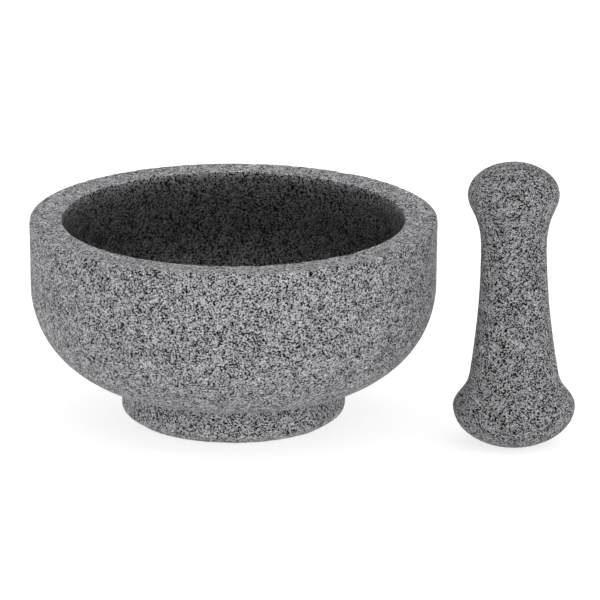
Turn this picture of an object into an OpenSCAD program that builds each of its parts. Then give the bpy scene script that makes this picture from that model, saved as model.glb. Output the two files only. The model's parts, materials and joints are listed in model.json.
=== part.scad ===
// A granite mortar and its pestle.
// Each is carved from one block of stone: the mortar is a deep bowl with a thick flat rim on
// a low round foot, and the pestle is a waisted handle between a small knob and a wide
// grinding head. The origin is the centre of the mortar's underside, with +Z up.

/* [Mortar] */
// Outer diameter at the rim
mortar_d = 203; // [180:1:240]
// Height from the underside of the foot to the rim
mortar_h = 102.5; // [96:0.5:120]
// Width of the flat rim
rim_w = 16.3; // [12:0.1:24]
// Rounding of the rim's outer edge
rim_edge_r = 1.5; // [0.5:0.1:4]
// Rounding of the rim's inner edge
mouth_edge_r = 0.8; // [0.4:0.1:3]
// Lean of the side wall, in degrees, wider at the rim
wall_lean = 1.2; // [0:0.1:3]
// Height at which the side wall turns into the belly
belly_h = 69; // [64:0.5:76]
// Radius of the belly curve
belly_r = 51; // [46:0.5:56]
// Angle through which the belly curve turns, in degrees
belly_turn = 50; // [40:1:58]
// Radius of the flatter curve under the bowl
under_r = 64; // [56:0.5:80]

/* [Foot] */
// Diameter of the foot
foot_d = 111; // [100:1:124]
// Width of the bevel round the foot's bottom edge
foot_bevel_w = 8.5; // [4:0.5:12]
// Slope of that bevel, in degrees
foot_bevel_turn = 31.5; // [20:0.5:45]
// Rounding between that bevel and the side of the foot
foot_edge_r = 6.5; // [3:0.5:8]

/* [Well] */
// Depth of the well below the rim
well_depth = 70; // [60:0.5:76]
// Radius of the curve from the wall of the well to its floor
well_corner_r = 44; // [30:0.5:50]
// Radius of the dished floor of the well
well_dish_r = 180; // [120:5:260]

/* [Pestle] */
// Length of the pestle
pestle_len = 143.5; // [138:0.5:165]
// Diameter of the small flat that the pestle stands on
stand_d = 23; // [16:0.5:28]
// Diameter of the grinding head
head_d = 60.8; // [54:0.2:68]
// Height of the head's widest ring
head_h = 19; // [16:0.5:22]
// Diameter at the narrowest ring of the handle
waist_d = 33; // [28:0.5:38]
// Diameter of the knob
knob_d = 46; // [42:0.5:52]

/* [Place] */
// Gap between the mortar's rim and the head of the pestle that stands beside it
pestle_gap = 14.2; // [4:0.1:80]
// Direction of the pestle from the mortar, in degrees from +X
pestle_side = -17.7; // [-180:0.1:180]

/* [Hidden] */

GRANITE = [0.54, 0.54, 0.55];
DARK_GRANITE = [0.46, 0.46, 0.47];
CURVE_STEP = 4;      // most degrees between the points of an arc
CURVE_LENGTH = 6;    // most millimetres between the points of an arc
ROUND_STEPS = 5;     // steps round a small rounded edge
SIDE_STEP = 2;       // most millimetres of height between the points of the pestle's side
$fn = 128;

mortar_r = mortar_d / 2;
well_r = mortar_r - rim_w;
foot_r = foot_d / 2;
well_floor_h = mortar_h - well_depth;

// The belly is an arc that leaves the leaning wall smoothly. The underside is a flatter arc
// that leaves the belly smoothly and ends at the side of the foot.
wall_foot_r = mortar_r - (mortar_h - rim_edge_r - belly_h) * tan(wall_lean);
belly_centre = [wall_foot_r - belly_r * cos(wall_lean), belly_h + belly_r * sin(wall_lean)];
belly_end = on_arc(belly_centre, belly_r, -belly_turn);
under_centre = belly_end - under_r * [cos(belly_turn), -sin(belly_turn)];
under_turn = acos((foot_r - under_centre[0]) / under_r);

// The rounding of the foot touches both its upright side and its bevel.
foot_edge_h = (foot_edge_r + (foot_bevel_w - foot_edge_r) * sin(foot_bevel_turn)) / cos(foot_bevel_turn);

// The corner of the well touches both the upright wall and the dished floor.
corner_x = well_r - well_corner_r;
dish_centre = [0, well_floor_h + well_dish_r];
corner_z = dish_centre[1] - sqrt(pow(well_dish_r - well_corner_r, 2) - pow(corner_x, 2));
corner_turn = acos(corner_x / (well_dish_r - well_corner_r));

// Distance between the upright axes of the mortar and the pestle
pestle_away = mortar_r + pestle_gap + head_d / 2;

// Rings of the pestle between its two round ends. Each stands a height above or below the
// widest ring of the head or knob, is drawn in from it by a distance, and has a side that
// slopes by so many millimetres out for each millimetre up.
shoulder_rise = 8;       // steepest part of the shoulder, above the head's widest ring
shoulder_in = 4.3;
shoulder_slope = -0.85;
shaft_rise = 17.5;       // lower end of the shaft, above the head's widest ring
shaft_in = 8.4;
shaft_slope = -0.155;
knob_rise = 16;          // top of the knob, above its widest ring
neck_drop = 9.5;         // steepest part of the neck, below the knob's widest ring
neck_in = 3.1;
neck_slope = 0.45;
waist_drop = 27.5;       // waist, below the knob's widest ring
knob_h = pestle_len - knob_rise;
PESTLE_RINGS = [
    // height, radius, slope
    [head_h, head_d / 2, 0],
    [head_h + shoulder_rise, head_d / 2 - shoulder_in, shoulder_slope],
    [head_h + shaft_rise, head_d / 2 - shaft_in, shaft_slope],
    [knob_h - waist_drop, waist_d / 2, 0],
    [knob_h - neck_drop, knob_d / 2 - neck_in, neck_slope],
    [knob_h, knob_d / 2, 0]
];

function on_arc(centre, radius, angle) = centre + radius * [cos(angle), sin(angle)];

// Points along an arc, both ends included
function arc(centre, radius, from, to) =
    let (
        turn = abs(to - from),
        length = turn * PI / 180 * radius,
        steps = ceil(max(turn / CURVE_STEP, length / CURVE_LENGTH))
    )
    [for (i = [0:steps]) on_arc(centre, radius, from + (to - from) * i / steps)];

// Points round a small rounded edge, both ends included
function rounded(centre, radius, from, to) =
    [for (i = [0:ROUND_STEPS]) on_arc(centre, radius, from + (to - from) * i / ROUND_STEPS)];

// Radius at a share t of the way from ring a to ring b, on a smooth cubic
function blend(a, b, t) =
    let (h = b[0] - a[0], s = t * t * (3 - 2 * t))
    a[1] * (1 - s) + b[1] * s + h * t * (1 - t) * (a[2] * (1 - t) - b[2] * t);

// Points up the side of the pestle from ring a to just below ring b
function side(a, b) =
    let (steps = ceil((b[0] - a[0]) / SIDE_STEP))
    [for (i = [0:steps - 1])
        let (t = i / steps)
        [blend(a, b, t), a[0] + (b[0] - a[0]) * t]];

// Points round an elliptical end of the pestle, no further apart than twice CURVE_STEP
function round_end(middle_h, across, along, from, to) =
    let (steps = ceil(abs(to - from) / (2 * CURVE_STEP)))
    [for (i = [0:steps])
        let (a = from + (to - from) * i / steps)
        [across * cos(a), middle_h + along * sin(a)]];

// The bowl and its foot, solid
module mortar_block() {
    outline = concat(
        [[0, 0], [foot_r - foot_bevel_w, 0]],
        rounded([foot_r - foot_edge_r, foot_edge_h], foot_edge_r, foot_bevel_turn - 90, 0),
        arc(under_centre, under_r, -under_turn, -belly_turn),
        arc(belly_centre, belly_r, -belly_turn + CURVE_STEP, -wall_lean),
        rounded([mortar_r - rim_edge_r, mortar_h - rim_edge_r], rim_edge_r, 0, 90),
        [[0, mortar_h]]
    );
    rotate_extrude() polygon(outline);
}

// The space inside the bowl, with a rounded mouth edge
module well() {
    above = mortar_h + 1;    // the cut runs past the rim
    outline = concat(
        arc(dish_centre, well_dish_r, -90, -corner_turn),
        arc([corner_x, corner_z], well_corner_r, -corner_turn + CURVE_STEP, 0),
        rounded([well_r + mouth_edge_r, mortar_h - mouth_edge_r], mouth_edge_r, 180, 90),
        [[well_r + mouth_edge_r, above], [0, above]]
    );
    rotate_extrude() polygon(outline);
}

module mortar() {
    color(GRANITE) difference() {
        mortar_block();
        well();
    }
}

module pestle() {
    stand_angle = -acos(stand_d / head_d);      // where the flat cuts the head's ellipse
    head_along = -head_h / sin(stand_angle);
    last = len(PESTLE_RINGS) - 1;
    outline = concat(
        [[0, 0]],
        round_end(head_h, head_d / 2, head_along, stand_angle, -CURVE_STEP),
        [for (i = [0:last - 1]) each side(PESTLE_RINGS[i], PESTLE_RINGS[i + 1])],
        round_end(knob_h, knob_d / 2, knob_rise, 0, 90)
    );
    translate(pestle_away * [cos(pestle_side), sin(pestle_side), 0])
        color(DARK_GRANITE) rotate_extrude() polygon(outline);
}

mortar();
pestle();
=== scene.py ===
"""Looks of the granite mortar and pestle.

Each stone is a dense closed mesh turned from its own CAD solid's outline and then worn: it waves
a little, as hand-finished stone does, and has pecked dimples and small chips along its edges.
Everything is carved inwards, so it stays inside the CAD solid. Lengths are in metres."""
import json
import math

import bpy
import numpy as np
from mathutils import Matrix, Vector, noise


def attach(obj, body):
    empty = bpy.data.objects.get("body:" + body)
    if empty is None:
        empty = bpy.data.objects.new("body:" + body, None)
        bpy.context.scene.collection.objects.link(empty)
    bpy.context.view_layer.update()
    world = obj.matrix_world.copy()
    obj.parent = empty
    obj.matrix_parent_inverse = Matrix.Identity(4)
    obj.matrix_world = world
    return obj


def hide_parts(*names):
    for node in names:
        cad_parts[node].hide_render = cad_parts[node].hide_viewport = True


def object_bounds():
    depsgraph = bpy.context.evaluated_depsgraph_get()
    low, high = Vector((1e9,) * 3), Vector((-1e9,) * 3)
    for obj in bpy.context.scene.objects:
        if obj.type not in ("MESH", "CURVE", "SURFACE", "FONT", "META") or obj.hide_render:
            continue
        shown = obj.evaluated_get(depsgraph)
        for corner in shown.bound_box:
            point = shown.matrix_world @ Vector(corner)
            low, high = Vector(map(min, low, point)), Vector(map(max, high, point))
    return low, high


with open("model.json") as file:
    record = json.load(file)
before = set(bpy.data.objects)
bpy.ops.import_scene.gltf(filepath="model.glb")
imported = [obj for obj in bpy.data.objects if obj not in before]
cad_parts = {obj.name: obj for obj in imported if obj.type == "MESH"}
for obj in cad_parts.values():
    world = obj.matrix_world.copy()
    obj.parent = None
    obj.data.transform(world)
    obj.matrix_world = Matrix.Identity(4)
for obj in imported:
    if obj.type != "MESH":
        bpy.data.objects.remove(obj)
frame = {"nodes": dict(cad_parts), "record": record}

MM = 0.001
cad_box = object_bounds()
MOUNTS = {m["name"]: Vector(m["pos_m"]) for m in frame["record"]["mounts"]}

# Camera: an even, distant view from a little above the rim
CAMERA_ELEVATION = math.radians(15.9)
CAMERA_DISTANCE = 2.0
VIEW_WIDTH = 0.2979
VIEW_CENTRE = Vector((0.033, 0, 0.0605))

# Light: white all round, and a large softbox from the front right
WORLD_STRENGTH = 1.0
SOFTBOX_SIZE, SOFTBOX_DISTANCE, SOFTBOX_POWER = 0.8, 1.2, 2.15
SOFTBOX_AZIMUTH, SOFTBOX_ELEVATION = math.radians(38), math.radians(35)

# Table
TABLE_SIZE = 12.0
TABLE_GREY, TABLE_GLOW = 0.4, 0.75
TABLE_GAP = 0.05 * MM                 # keeps the table's top clear of the stones' undersides

# Turned meshes
SAME_RING = 0.05 * MM                 # the CAD mesh's vertices on one ring agree this well
STRAIGHT = 6.5 * MM                   # a longer step between rings is a straight stretch
CORNER_TURN = math.radians(30)        # a sharper turn of the outline is a corner
EDGE_RADIUS = 4 * MM                  # a convex turn tighter than this is an edge that chips
SHARP_EDGE = math.radians(40)         # shading breaks where faces meet at more than this
HIDDEN_SPACING = 6 * MM               # between the rings of a flat underside
POLE_RADIUS = 2.5 * MM                # the innermost ring round a pole

# Wear of the stone, all of it inwards
WAVE_DEPTH, WAVE_SIZE, WAVE_OCTAVES = 0.14 * MM, 30 * MM, 3
DIMPLE_DEPTH, DIMPLE_SIZE = 0.11 * MM, 4.2 * MM
DIMPLE_RADIUS = 0.7                   # of a dimple, as a share of its size
CHIP_DEPTH, CHIP_SIZE, CHIP_REACH = 0.9 * MM, 5.5 * MM, 2.6 * MM
CHIP_FROM = 0.2                       # noise above this makes a chip
WELL_SMOOTHNESS = 0.6                 # the ground well has so much less wear
WELL_SMOOTH_FROM = 0.125              # share of the well's depth at which it is fully smooth


# ---------------------------------------------------------------- outlines from the CAD solids

def turned_rings(node, axis):
    """Radius and height of every ring of a turned CAD solid, walked from its underside inwards."""
    mesh = frame["nodes"][node].data
    points = np.array([v.co for v in mesh.vertices]) - np.array(axis)
    flat = np.stack([np.hypot(points[:, 0], points[:, 1]), points[:, 2]], axis=1)
    rings = []
    left = flat
    while len(left):
        rings.append(left[0])
        left = left[np.linalg.norm(left - left[0], axis=1) > SAME_RING]
    rings = np.array(rings)
    ring_of = np.linalg.norm(flat[:, None] - rings, axis=2).argmin(axis=1)
    beside = [set() for _ in rings]
    for edge in mesh.edges:
        a, b = (int(ring_of[i]) for i in edge.vertices)
        if a != b:
            beside[a].add(b)
            beside[b].add(a)
    walk = [int(rings[:, 1].argmin())]
    while True:
        onward = [i for i in beside[walk[-1]] if i not in walk]
        if not onward:
            break
        walk.append(min(onward))
    return np.vstack([[0, rings[walk[0]][1]], rings[walk]])


def turns(rings):
    """Signed turn of the outline at each inner ring, positive where the stone is convex."""
    steps = np.diff(rings, axis=0)
    headings = np.arctan2(steps[:, 1], steps[:, 0])
    return (np.diff(headings) + math.pi) % (2 * math.pi) - math.pi


def ring_tangents(rings):
    """Direction of the outline on arriving at and on leaving each ring, and the step lengths."""
    steps = np.diff(rings, axis=0)
    lengths = np.linalg.norm(steps, axis=1)
    along = steps / lengths[:, None]
    arriving = np.vstack([along[:1], along])
    leaving = np.vstack([along, along[-1:]])
    for i, turn in enumerate(turns(rings), start=1):
        if abs(turn) > CORNER_TURN:
            continue
        before, after = lengths[i - 1], lengths[i]
        if before > STRAIGHT:
            smooth = along[i - 1]
        elif after > STRAIGHT:
            smooth = along[i]
        else:
            smooth = along[i - 1] / before + along[i] / after
        arriving[i] = leaving[i] = smooth / np.linalg.norm(smooth)
    return arriving, leaving, lengths


def fine_outline(rings, spacing):
    """Closely spaced points of the outline and its outward normals, smooth where it turns gently."""
    arriving, leaving, lengths = ring_tangents(rings)
    points = []
    for i, length in enumerate(lengths):
        under = max(rings[i][1], rings[i + 1][1]) < SAME_RING
        steps = max(1, math.ceil(length / (HIDDEN_SPACING if under else spacing)))
        for t in np.arange(steps) / steps:
            # A cubic that leaves one ring and arrives at the next along their tangents
            points.append(
                rings[i] * (1 + 2 * t) * (1 - t) ** 2
                + rings[i + 1] * t * t * (3 - 2 * t)
                + leaving[i] * length * t * (1 - t) ** 2
                - arriving[i + 1] * length * t * t * (1 - t)
            )
    points.append(rings[-1])
    points = np.array(points)
    inner = points[1:-1]
    points = np.vstack([points[:1], inner[inner[:, 0] > POLE_RADIUS], points[-1:]])
    heading = np.gradient(points, axis=0)
    heading /= np.linalg.norm(heading, axis=1)[:, None]
    normals = np.stack([heading[:, 1], -heading[:, 0]], axis=1)
    normals[0] = (0, -1)
    normals[-1] = (0, 1)
    return points, normals


def edge_nearness(points, rings):
    """For each point of the outline, 1 on a tight convex edge and 0 a chip's reach away."""
    steps = np.linalg.norm(np.diff(rings, axis=0), axis=1)
    span = (steps[:-1] + steps[1:]) / 2
    tight = rings[1:-1][turns(rings) / span > 1 / EDGE_RADIUS]
    if not len(tight):
        return np.zeros(len(points))
    away = np.linalg.norm(points[:, None] - tight, axis=2).min(axis=1)
    return np.clip(1 - away / CHIP_REACH, 0, 1)


# ---------------------------------------------------------------- worn stone meshes

def wear_depth(place, edge):
    """How far the worn surface lies below the turned one, at a place in the row frame."""
    wave = WAVE_DEPTH * (0.5 + 0.5 * noise.fractal(place / WAVE_SIZE, 1.0, 2.0, WAVE_OCTAVES))
    nearest = noise.voronoi(place / DIMPLE_SIZE)[0][0]
    dimple = DIMPLE_DEPTH * max(0.0, 1 - (nearest / DIMPLE_RADIUS) ** 2)
    chip = CHIP_DEPTH * edge * max(0.0, noise.noise(place / CHIP_SIZE) - CHIP_FROM)
    return max(0.0, wave) + dimple + chip


def well_depths(points):
    """Share of the well's depth at each point of the outline, and 0 outside the well."""
    top, floor = points[:, 1].max(), points[-1, 1]
    depths = np.zeros(len(points))
    mouth = np.flatnonzero(points[:, 1] > top - SAME_RING)[-1]
    depths[mouth + 1:] = (top - points[mouth + 1:, 1]) / (top - floor or 1)
    return depths


def turned_stone(name, node, axis, spacing):
    """A closed mesh that turns the node's outline about its axis, with wear."""
    rings = turned_rings(node, axis)
    points, normals = fine_outline(rings, spacing)
    segments = round(2 * math.pi * rings[:, 0].max() / spacing)
    edges = edge_nearness(points, rings)
    wells = well_depths(points)
    angles = np.arange(segments) * 2 * math.pi / segments
    last = len(points) - 1
    vertices, depths = [], []
    for i, ((radius, height), (out, up)) in enumerate(zip(points, normals)):
        roughness = 1 - WELL_SMOOTHNESS * min(1.0, wells[i] / WELL_SMOOTH_FROM)
        for angle in angles if 0 < i < last else angles[:1]:
            around = Vector((math.cos(angle), math.sin(angle), 0))
            place = axis + around * radius + Vector((0, 0, height))
            normal = around * out + Vector((0, 0, up))
            vertices.append(place - normal * wear_depth(place, edges[i]) * roughness)
            depths.append(wells[i])
    end = len(vertices) - 1
    faces = []
    for k in range(segments):
        beside = (k + 1) % segments
        faces.append((0, 1 + beside, 1 + k))
        for i in range(last - 2):
            low, high = 1 + i * segments, 1 + (i + 1) * segments
            faces.append((low + k, low + beside, high + beside, high + k))
        low = 1 + (last - 2) * segments
        faces.append((low + k, low + beside, end))
    mesh = bpy.data.meshes.new(name)
    mesh.from_pydata(vertices, [], faces)
    mesh.attributes.new("well_depth", "FLOAT", "POINT").data.foreach_set("value", depths)
    mesh.shade_smooth()
    mesh.set_sharp_from_angle(angle=SHARP_EDGE)
    stone = bpy.data.objects.new(name, mesh)
    bpy.context.scene.collection.objects.link(stone)
    return stone


# ---------------------------------------------------------------- materials

# Greys of the mineral grains, from black mica through dark quartz to pale feldspar, by share
GRAIN_TONES = [
    (0.00, 0.002), (0.30, 0.004), (0.35, 0.033), (0.39, 0.16), (0.45, 0.285), (0.65, 0.365),
    (0.85, 0.49), (1.00, 0.72),
]
COOL_TINT = (1.0, 1.0, 1.035)
GRAIN_ROUGHNESS = [(0.10, 0.45), (0.25, 0.66), (0.80, 0.74)]
# Painted shade in the well: the share of its colour the well keeps, by share of its depth
WELL_PAINTED_SHADE = [
    (0.00, 1.00), (0.012, 0.74), (0.06, 0.375), (0.16, 0.245), (0.40, 0.155), (0.55, 0.20),
    (0.70, 0.285), (1.00, 0.325),
]
# Sizes in the pattern, in millimetres
GRAIN, FINE_GRAIN, CLUMP, MOTTLE, FLAW, PIT = 0.58, 0.36, 5.0, 16.0, 0.16, 1.1
BORDER_WAVE = 0.9                     # how far grain borders stray, as a share of a grain's size
FINE_SHARE = 0.12                     # of a grain's tone that comes from the finer grains
CLUMPING = 0.45                       # how strongly grains of one tone keep together
# Shade of a grain at its middle, and how much flaws lighten it and its border darkens it
MIDDLE_SHADE, FLAW_SHADE, BORDER_SHADE = 0.9, 0.5, -0.35
MOTTLE_SHADE = 0.16
# Height of the relief: how far a grain falls to its border, and how grains differ
BORDER_DROP, GRAIN_STEP = -0.35, 0.5
RELIEF = 0.4 * MM
SHEEN = 0.06


def add(tree, kind, inputs, **settings):
    """A new shader node. Each input is a constant or the socket that feeds it."""
    node = tree.nodes.new(kind)
    for key, value in settings.items():
        setattr(node, key, value)
    for key, value in inputs.items():
        if isinstance(value, bpy.types.NodeSocket):
            tree.links.new(value, node.inputs[key])
        else:
            node.inputs[key].default_value = value
    return node


def times(tree, a, b):
    """a * b"""
    return add(tree, "ShaderNodeMath", {0: a, 1: b}, operation="MULTIPLY").outputs[0]


def times_plus(tree, a, b, c):
    """a * b + c"""
    return add(tree, "ShaderNodeMath", {0: a, 1: b, 2: c}, operation="MULTIPLY_ADD").outputs[0]


def scaled(tree, vector, factor):
    """A vector times a number."""
    inputs = {0: vector, "Scale": factor}
    return add(tree, "ShaderNodeVectorMath", inputs, operation="SCALE").outputs[0]


def noise_at(tree, place, size, detail, roughness=0.5):
    """Noise with lumps of one size."""
    inputs = {"Vector": place, "Scale": 1 / size, "Detail": detail, "Roughness": roughness}
    return add(tree, "ShaderNodeTexNoise", inputs)


def strayed(tree, place):
    """Places that stray a little, so that the borders of the grains wave."""
    wave = noise_at(tree, place, GRAIN, detail=2.0).outputs["Color"]
    inputs = {0: wave, 1: (0.5,) * 3}
    centred = add(tree, "ShaderNodeVectorMath", inputs, operation="SUBTRACT").outputs[0]
    inputs = {0: centred, 1: (BORDER_WAVE * GRAIN,) * 3, 2: place}
    return add(tree, "ShaderNodeVectorMath", inputs, operation="MULTIPLY_ADD").outputs[0]


def grains_at(tree, place, size):
    """Cells of one size: a random tone from 0 to 1 for each, and the distance from its middle."""
    cells = add(tree, "ShaderNodeTexVoronoi", {"Vector": place, "Scale": 1 / size})
    split = add(tree, "ShaderNodeSeparateColor", {0: cells.outputs["Color"]})
    return split.outputs[0], cells.outputs["Distance"]


def ramp(tree, factor, stops, tint=(1.0, 1.0, 1.0)):
    """A tinted grey that follows (position, grey) stops."""
    node = add(tree, "ShaderNodeValToRGB", {"Fac": factor})
    elements = node.color_ramp.elements
    elements.remove(elements[1])
    for i, (position, grey) in enumerate(stops):
        element = elements.new(position) if i else elements[0]
        element.position = position
        element.color = (*(grey * share for share in tint), 1)
    return node.outputs["Color"]


def granite(name, brightness):
    """Speckled granite: crystals of black, grey and white, with a finely pecked surface."""
    material = bpy.data.materials.new(name)
    material.use_nodes = True
    tree = material.node_tree
    tree.nodes.clear()
    metres = add(tree, "ShaderNodeTexCoord", {}).outputs["Object"]
    place = scaled(tree, metres, 1 / MM)

    # Crystals with wavy borders, in loose clumps
    wavy = strayed(tree, place)
    coarse, from_middle = grains_at(tree, wavy, GRAIN)
    fine, _ = grains_at(tree, wavy, FINE_GRAIN)
    clumps = noise_at(tree, place, CLUMP, detail=2.0).outputs["Fac"]
    tone = times_plus(tree, clumps, CLUMPING, -CLUMPING / 2)
    tone = times_plus(tree, fine, FINE_SHARE, tone)
    tone = times_plus(tree, coarse, 1 - FINE_SHARE, tone)

    # Each grain has flaws in it and is a little darker towards its border
    flaws = noise_at(tree, place, FLAW, detail=3.0).outputs["Fac"]
    within = times_plus(tree, flaws, FLAW_SHADE, MIDDLE_SHADE)
    within = times_plus(tree, from_middle, BORDER_SHADE, within)
    mottle = noise_at(tree, place, MOTTLE, detail=1.0).outputs["Fac"]
    mottle = times_plus(tree, mottle, MOTTLE_SHADE, 1 - MOTTLE_SHADE / 2)
    depth = add(tree, "ShaderNodeAttribute", {}, attribute_name="well_depth").outputs["Fac"]
    # Painted shade: the well's colour darkens with its depth, most part way down
    painted_well_shade = ramp(tree, depth, WELL_PAINTED_SHADE)
    shade = times(tree, times(tree, times(tree, painted_well_shade, within), mottle), brightness)
    colour = scaled(tree, ramp(tree, tone, GRAIN_TONES, COOL_TINT), shade)

    # Pecked pits, and grains that stand at different heights and fall towards their borders
    height = noise_at(tree, place, PIT, detail=3.0, roughness=0.6).outputs["Fac"]
    height = times_plus(tree, coarse, GRAIN_STEP, height)
    height = times_plus(tree, from_middle, BORDER_DROP, height)
    relief = add(tree, "ShaderNodeBump", {"Strength": 1.0, "Distance": RELIEF, "Height": height})
    surface = add(tree, "ShaderNodeBsdfPrincipled", {
        "Base Color": colour,
        "Roughness": ramp(tree, tone, GRAIN_ROUGHNESS),
        "Specular IOR Level": SHEEN,
        "Normal": relief.outputs[0],
    })
    add(tree, "ShaderNodeOutputMaterial", {"Surface": surface.outputs[0]})
    return material


def white_table():
    """A plain white surface that also glows a little, as a light table does."""
    material = bpy.data.materials.new("white_table")
    material.use_nodes = True
    surface = material.node_tree.nodes["Principled BSDF"]
    surface.inputs["Base Color"].default_value = (TABLE_GREY, TABLE_GREY, TABLE_GREY, 1)
    surface.inputs["Roughness"].default_value = 1.0
    surface.inputs["Specular IOR Level"].default_value = 0.0
    surface.inputs["Emission Color"].default_value = (1, 1, 1, 1)
    surface.inputs["Emission Strength"].default_value = TABLE_GLOW
    return material


# ---------------------------------------------------------------- the scene

def make_camera():
    """A camera without perspective, in front of the object and a little above it."""
    data = bpy.data.cameras.new("camera")
    data.type = "ORTHO"
    data.ortho_scale = VIEW_WIDTH
    camera = bpy.data.objects.new("camera", data)
    bpy.context.scene.collection.objects.link(camera)
    back = Vector((0, -math.cos(CAMERA_ELEVATION), math.sin(CAMERA_ELEVATION)))
    camera.location = VIEW_CENTRE + back * CAMERA_DISTANCE
    camera.rotation_euler = (math.pi / 2 - CAMERA_ELEVATION, 0, 0)
    bpy.context.scene.camera = camera


def make_light():
    """White surroundings and one softbox."""
    world = bpy.data.worlds.new("studio")
    world.use_nodes = True
    background = world.node_tree.nodes["Background"]
    background.inputs["Color"].default_value = (1, 1, 1, 1)
    background.inputs["Strength"].default_value = WORLD_STRENGTH
    bpy.context.scene.world = world
    data = bpy.data.lights.new("softbox", "AREA")
    data.shape = "DISK"
    data.size = SOFTBOX_SIZE
    data.energy = SOFTBOX_POWER
    softbox = bpy.data.objects.new("softbox", data)
    softbox.visible_camera = False
    away = Vector((
        math.sin(SOFTBOX_AZIMUTH) * math.cos(SOFTBOX_ELEVATION),
        -math.cos(SOFTBOX_AZIMUTH) * math.cos(SOFTBOX_ELEVATION),
        math.sin(SOFTBOX_ELEVATION),
    ))
    softbox.location = VIEW_CENTRE + away * SOFTBOX_DISTANCE
    softbox.rotation_euler = away.to_track_quat("Z", "Y").to_euler()
    bpy.context.scene.collection.objects.link(softbox)
    bpy.context.scene.view_settings.view_transform = "Standard"


def make_table():
    """A plain table, under the object and all round it."""
    half = TABLE_SIZE / 2
    mesh = bpy.data.meshes.new("table")
    top = cad_box[0].z - TABLE_GAP
    corners = [(-half, -half, top), (half, -half, top), (half, half, top), (-half, half, top)]
    mesh.from_pydata(corners, [], [(0, 1, 2, 3)])
    mesh.materials.append(white_table())
    table = bpy.data.objects.new("table", mesh)
    bpy.context.scene.collection.objects.link(table)


def make_stone(name, node, mount_name, body, slot, spacing, brightness):
    """The worn granite stone that stands for a CAD node and rides on its body."""
    stone = turned_stone(name, node, MOUNTS[mount_name], spacing)
    stone.data.materials.append(granite(slot, brightness))
    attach(stone, body)
    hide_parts(node)


make_camera()
make_light()
make_table()
make_stone("mortar_stone", "mortar", "foot_face", "mortar_body", "granite", 1.6 * MM, 1.0)
make_stone("pestle_stone", "pestle", "pestle_stand_face", "pestle_body", "dark_granite", 1.0 * MM, 0.75)
